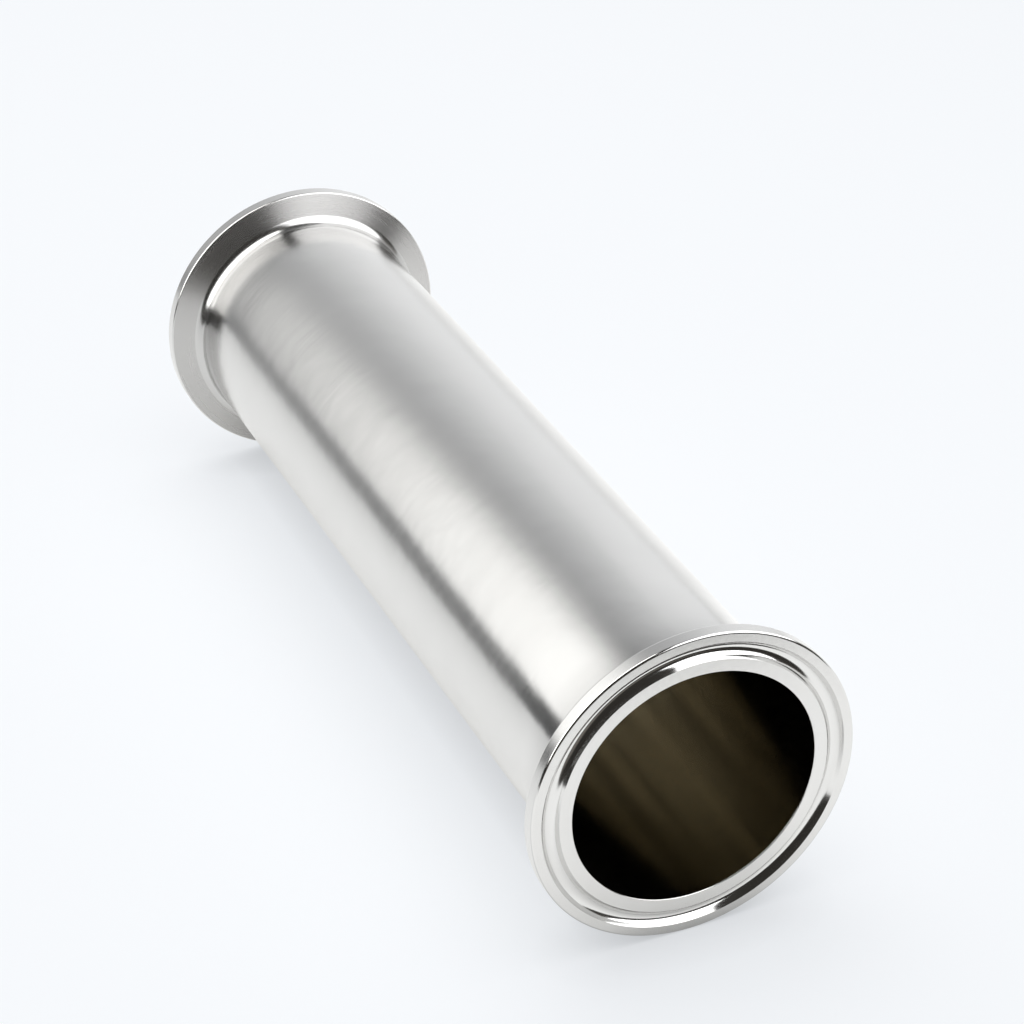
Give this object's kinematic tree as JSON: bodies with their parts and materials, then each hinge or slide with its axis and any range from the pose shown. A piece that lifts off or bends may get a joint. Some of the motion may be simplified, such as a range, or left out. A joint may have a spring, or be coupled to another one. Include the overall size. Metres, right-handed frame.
{
  "type": "sanitary spool pipe",
  "caption": "Straight thin-walled steel spool with a smooth through bore and a grooved clamp ferrule welded on each end, for joining sanitary lines face to face.",
  "frame": {"origin": "centre of the lower sealing face, on the surface that the spool stands on", "axes": "+Z along the bore from the lower ferrule to the upper one; the part is round, so +X and +Y are free"},
  "size_m": [0.064, 0.064, 0.2],
  "materials": {
    "satin_tube": "satin drawn tube with fine lines round it",
    "polished_ferrule": "turned and polished, with a mirror-bright groove"
  },
  "bodies": {
    "root": {"pipe": "satin_tube", "lower_ferrule": "polished_ferrule", "upper_ferrule": "polished_ferrule"}
  },
  "joints": []
}
